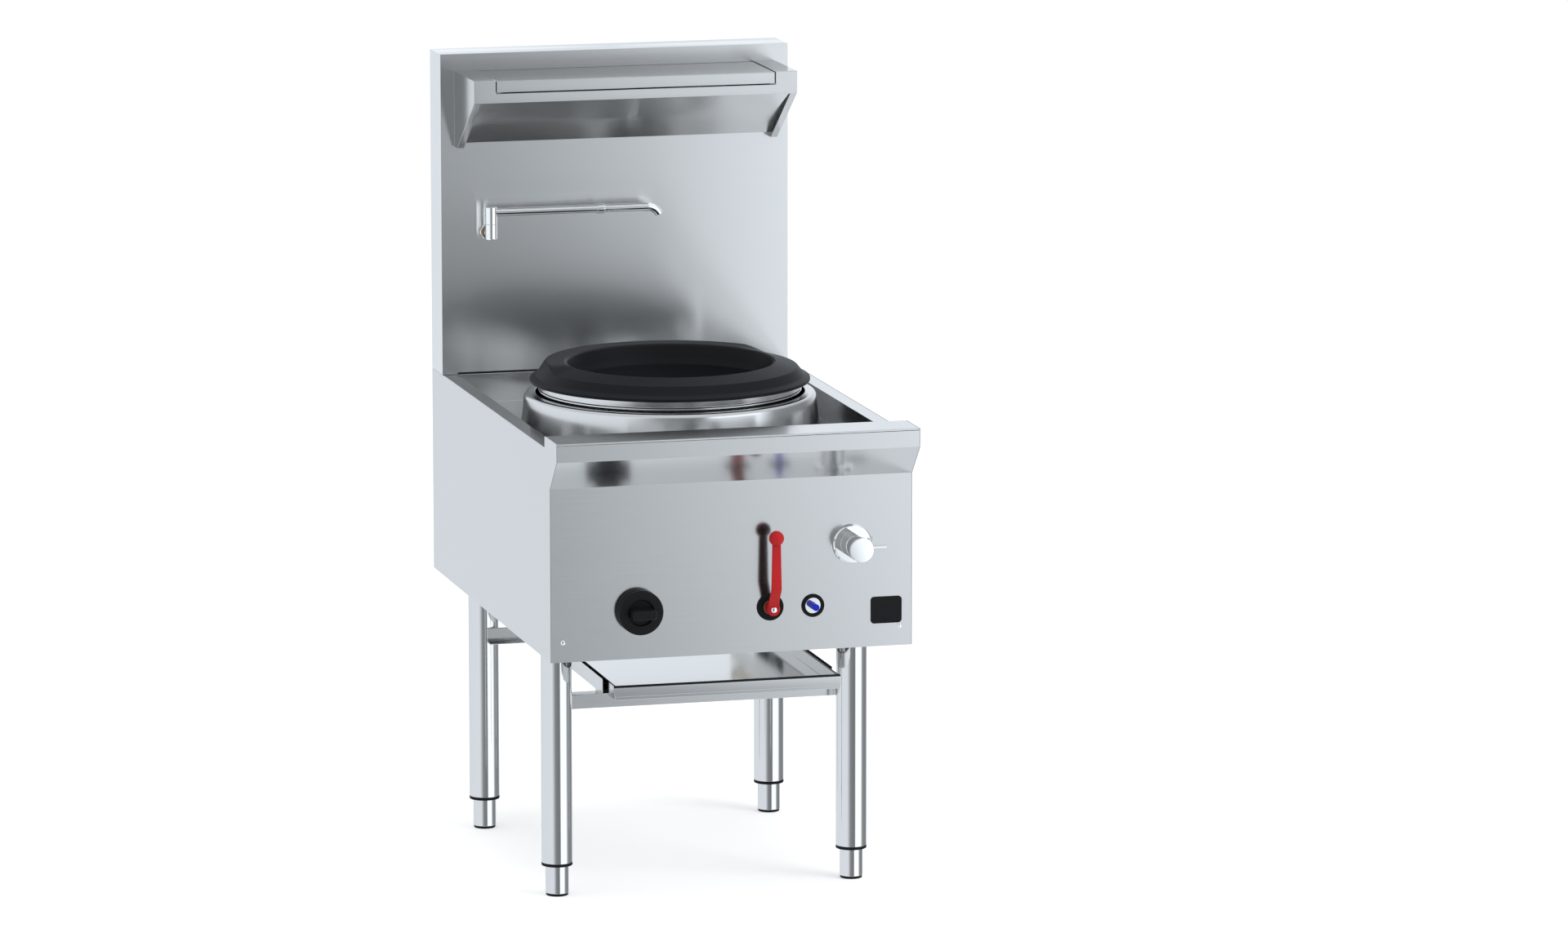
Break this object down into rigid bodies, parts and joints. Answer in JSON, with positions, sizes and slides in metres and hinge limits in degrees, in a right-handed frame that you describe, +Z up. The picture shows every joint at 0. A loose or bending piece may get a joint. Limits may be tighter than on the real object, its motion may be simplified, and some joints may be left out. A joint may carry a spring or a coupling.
{
  "type": "wok burner",
  "caption": "Free-standing stainless gas wok burner with a sunken well, chimney and cast ring, a splash with shelf, a swinging water spout and a slide-out drip tray.",
  "frame": {"origin": "on the floor, under the middle of the whole object's outline", "axes": "+X to the right of a person who faces the control panel, +Y from the front to the back, +Z up"},
  "size_m": [0.6, 0.928, 1.306],
  "materials": {
    "sheet_steel": "satin",
    "polished_steel": "polished",
    "chrome": "polished",
    "black_iron": "satin black",
    "raw_iron": "as cast",
    "brass": "plain",
    "white_ceramic": "glazed",
    "black_plastic": "satin",
    "black_rubber": "matt",
    "red_paint": "gloss",
    "blue_plastic": "gloss"
  },
  "bodies": {
    "cabinet": {"side_panel_left": "sheet_steel", "side_panel_right": "sheet_steel", "front_panel": "sheet_steel", "well_deck": "sheet_steel", "back_panel": "sheet_steel", "splash_front": "sheet_steel", "leg_rails": "sheet_steel", "shelf_cheek_left": "sheet_steel", "shelf_cheek_right": "sheet_steel", "shelf_fascia": "sheet_steel", "shelf_underside": "sheet_steel", "chimney": "polished_steel", "fire_ring": "polished_steel", "burner_head": "raw_iron", "burner_jets": "brass", "burner_bracket": "raw_iron", "mixing_tube": "raw_iron", "injector": "brass", "gas_pipes": "brass", "ball_valve": "brass", "lever_grommet": "black_rubber", "burner_valve": "brass", "knob_base": "black_plastic", "pilot_burner": "brass", "thermocouple": "brass", "spark_electrode": "white_ceramic", "piezo_body": "chrome", "piezo_ring": "black_rubber", "mixer_body": "brass", "water_inlets": "brass", "mixer_plate": "chrome", "water_pipe": "brass", "spout_nut": "chrome", "spout_elbow": "chrome", "badge_plate": "black_plastic", "panel_screws": "chrome", "legs": "polished_steel", "leg_bushes": "black_rubber", "cross_bars": "sheet_steel", "tray_runners": "sheet_steel"},
    "shelf_insert": {"shelf_tray": "sheet_steel"},
    "wok_support": {"wok_ring": "black_iron"},
    "lever": {"valve_lever": "red_paint", "valve_stem": "brass", "lever_screw": "chrome"},
    "plunger": {"valve_plunger": "chrome"},
    "knob": {"burner_knob": "black_plastic", "valve_spindle": "chrome"},
    "igniter_button": {"piezo_button": "blue_plastic"},
    "mixer_handle": {"mixer_knob": "chrome"},
    "spout": {"spout_arm": "chrome"},
    "drip_pan": {"drip_tray": "sheet_steel"},
    "foot_fl": {"foot_front_left": "polished_steel", "foot_tip_front_left": "black_rubber"},
    "foot_fr": {"foot_front_right": "polished_steel", "foot_tip_front_right": "black_rubber"},
    "foot_rl": {"foot_rear_left": "polished_steel", "foot_tip_rear_left": "black_rubber"},
    "foot_rr": {"foot_rear_right": "polished_steel", "foot_tip_rear_right": "black_rubber"}
  },
  "joints": [
    {"name": "spout_swing", "type": "hinge", "parent": "cabinet", "child": "spout", "pos_m": [-0.2225, 0.336, 1.03], "axis": [0, 0, 1], "range_deg": [-160, 0]},
    {"name": "mixer_turn", "type": "hinge", "parent": "cabinet", "child": "mixer_handle", "pos_m": [0.199, -0.43, 0.5915], "axis": [0, 1, 0], "range_deg": [-110, 0]},
    {"name": "knob_push", "type": "slide", "parent": "cabinet", "child": "plunger", "axis": [0, 1, 0], "range_m": [0, 0.004], "stiffness_N_per_m": 1500, "springref_m": -0.004},
    {"name": "knob_turn", "type": "hinge", "parent": "plunger", "child": "knob", "pos_m": [-0.154, -0.403, 0.4985], "axis": [0, -1, 0], "range_deg": [0, 180]},
    {"name": "lever_turn", "type": "hinge", "parent": "cabinet", "child": "lever", "pos_m": [0.063, -0.403, 0.4945], "axis": [0, -1, 0], "range_deg": [0, 90]},
    {"name": "igniter_push", "type": "slide", "parent": "cabinet", "child": "igniter_button", "axis": [0, 1, 0], "range_m": [0, 0.006], "stiffness_N_per_m": 1200, "springref_m": -0.003},
    {"name": "drip_tray_slide", "type": "slide", "parent": "cabinet", "child": "drip_pan", "axis": [0, -1, 0], "range_m": [0, 0.45]},
    {"name": "wok_ring_lift", "type": "slide", "parent": "cabinet", "child": "wok_support", "axis": [0, 0, 1], "range_m": [0, 0.15]},
    {"name": "shelf_tray_lift", "type": "slide", "parent": "cabinet", "child": "shelf_insert", "axis": [0, 0, 1], "range_m": [0, 0.1]},
    {"name": "foot_front_left_screw", "type": "slide", "parent": "cabinet", "child": "foot_fl", "axis": [0, 0, -1], "range_m": [0, 0.025]},
    {"name": "foot_front_right_screw", "type": "slide", "parent": "cabinet", "child": "foot_fr", "axis": [0, 0, -1], "range_m": [0, 0.025]},
    {"name": "foot_rear_left_screw", "type": "slide", "parent": "cabinet", "child": "foot_rl", "axis": [0, 0, -1], "range_m": [0, 0.025]},
    {"name": "foot_rear_right_screw", "type": "slide", "parent": "cabinet", "child": "foot_rr", "axis": [0, 0, -1], "range_m": [0, 0.025]}
  ]
}
